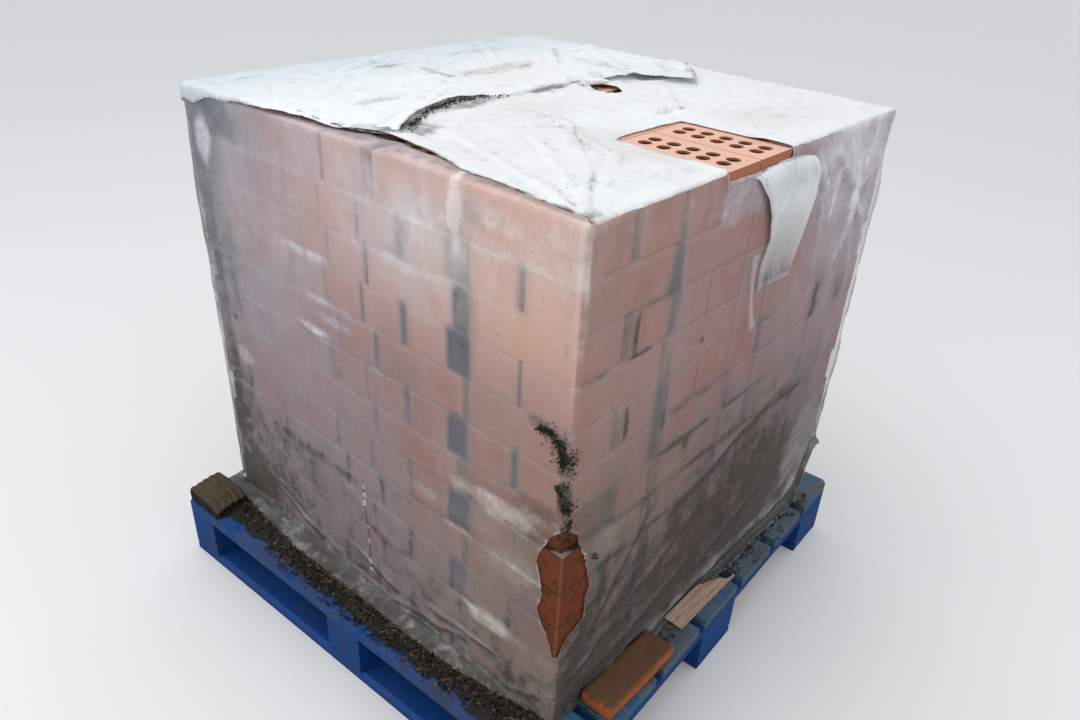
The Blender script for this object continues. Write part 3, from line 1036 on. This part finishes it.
def on_near_corner(dice):
    """A place on the moss that grew down the near corner, on the film."""
    u0, d0, r0, u1, d1, r1 = dice.choice(MOSS_RUNS)
    t = dice.random()
    r = (r0 + (r1 - r0) * t) * dice.uniform(.2, 1.3)
    u, d = u0 + (u1 - u0) * t + dice.gauss(0, r) + 3 * math.sin(d0 + t * 7), d0 + (d1 - d0) * t + dice.gauss(0, r)
    off, turn = 4.5 + 2.5 * dice.random(), math.radians(225 + 9 * u)
    if u < -5:
        x, y = -off, -u
    elif u > 5:
        x, y = u, -off
    else:
        x, y = CORNER_R + (CORNER_R + off) * math.cos(turn), CORNER_R + (CORNER_R + off) * math.sin(turn)
    return x, y, PACK_H - d


def on_left_ledge(dice):
    y = dice.uniform(-20, 985) if dice.random() < .6 else dice.uniform(-20, 700)
    hem = -np.interp(y, LEDGE_Y, [8, 36, 54, 63, 67, 71, 62, 50])
    out = abs(dice.gauss(0, .42 - .16 * (y > 760))) % 1.0
    return hem + 12 + (ledge_edge(y) + 6 - hem - 12) * out, y, 1.5 + 9 * (1 - out) * dice.random()


def on_right_ledge(dice):
    return dice.uniform(60, 960), -24 - abs(dice.gauss(0, 14)), 1.5 + 4 * dice.random()


def in_slit(dice):
    x = dice.uniform(60, dice.choice((330, 330, 400)))
    return x, slit_at(x) - 5 - abs(dice.gauss(0, 9)), PACK_H + 11 + 4 * dice.random()


def beside_tear(dice):
    return 78 + dice.gauss(0, 3), -8, PACK_H - 600 + dice.gauss(0, 3)


soil_y, out = np.meshgrid(np.linspace(-10, 992, 300), np.linspace(0, 1, 24))
soil_hem = -np.interp(soil_y, LEDGE_Y, [4, 30, 48, 58, 62, 66, 58, 46])
soil_x = soil_hem + (ledge_edge(soil_y) + 8 - soil_hem) * out
soil_z = (7 * (1 - out) ** 1.5 + 3.0) * (.5 + .8 * np.clip(rumple(soil_y, soil_x, 26, 121, 4), -.5, 1)) + .8
soil_edge = .62 - out + .55 * rumple(soil_y, soil_x * 1.4, 60, 122, 4)
points = columns_of(soil_x, soil_y, np.maximum(soil_z, .4))
make("soil_strip", *trim(points, grid_faces(*out.shape), soil_edge.ravel()), None, dead_moss, smooth=False)
scattered("moss_crust", 1500, on_near_corner, 4.2, .7, dead_moss, 135, 1.0)
scattered("leaf_litter", 4200, on_left_ledge, 10, .5, leaf_mould, 131, .7)
scattered("straw_bits", 110, on_left_ledge, 34, .04, straw, 132, .12)
scattered("stuck_crumbs", 7, beside_tear, 17, .8, straw, 137, 1.0)
scattered("right_litter", 260, on_right_ledge, 12, .5, leaf_mould, 133)
scattered("slit_debris", 640, in_slit, 5, .6, dead_moss, 134)

# Floor, light and camera
mesh = bpy.data.meshes.new("floor")
mesh.from_pydata([(-40, -40, 0), (40, -40, 0), (40, 40, 0), (-40, 40, 0)], [], [[0, 1, 2, 3]])
floor = bpy.data.objects.new("floor", mesh)
bpy.context.collection.objects.link(floor)
pale = Finish("pale floor", turned=False)
pale.surface(pale.mix(pale.node("ShaderNodeLightPath", out="Is Camera Ray"), (.34, .35, .34), (.86, .86, .85)), .9)
mesh.materials.append(pale.material)

world = bpy.data.worlds.new("soft studio")
bpy.context.scene.world = world
studio = Nodes(world)
seen = studio.node("ShaderNodeLightPath", out="Is Camera Ray")
dome = studio.node("ShaderNodeBackground", {}, {0: (.95, .98, 1.0, 1), 1: .78})
wall = studio.node("ShaderNodeBackground", {}, {0: (.93, .93, .93, 1), 1: 1.0})
both = studio.node("ShaderNodeMixShader", {}, {0: seen, 1: dome, 2: wall})
studio.node("ShaderNodeOutputWorld", {}, {0: both}, out=None)


def lamp(name, place, size, power):
    """A round soft lamp that points at the middle of the pack."""
    light = bpy.data.lights.new(name, "AREA")
    light.shape, light.size, light.energy = "DISK", size, power
    holder = bpy.data.objects.new(name, light)
    holder.location = place
    holder.rotation_euler = (Vector((0, 0, .6)) - Vector(place)).to_track_quat("-Z", "Y").to_euler()
    bpy.context.collection.objects.link(holder)


lamp("overhead", (-1.2, 1.0, 4.2), 3.0, 39)
lamp("left_fill", (-4.0, .8, 2.0), 2.5, 30)
lamp("front_fill", (.6, -4.2, 2.4), 2.5, 26)

# The camera's place and axes come from the joint corners in the photo, by the pack
FOCAL_PIXELS, PHOTO_WIDTH, SENSOR = 838.9, 1080, 36
CAMERA_PLACE = -795.2, -606.2, 1337.9
CAMERA_AXES = (.666, -.7446, .0453), (.3461, .3622, .8655), (-.6608, -.5607, .4989)
camera = bpy.data.objects.new("camera", bpy.data.cameras.new("camera"))
bpy.context.collection.objects.link(camera)
camera.data.sensor_width, camera.data.lens = SENSOR, FOCAL_PIXELS / PHOTO_WIDTH * SENSOR
camera.data.clip_start, camera.data.clip_end = .05, 100
pose = (Matrix.Rotation(TURN, 3, "Z") @ Matrix(CAMERA_AXES).transposed()).to_4x4()
pose.translation = Vector(in_pack([CAMERA_PLACE])[0])
camera.matrix_world = pose
bpy.context.scene.camera = camera
bpy.context.scene.view_settings.view_transform = "Standard"
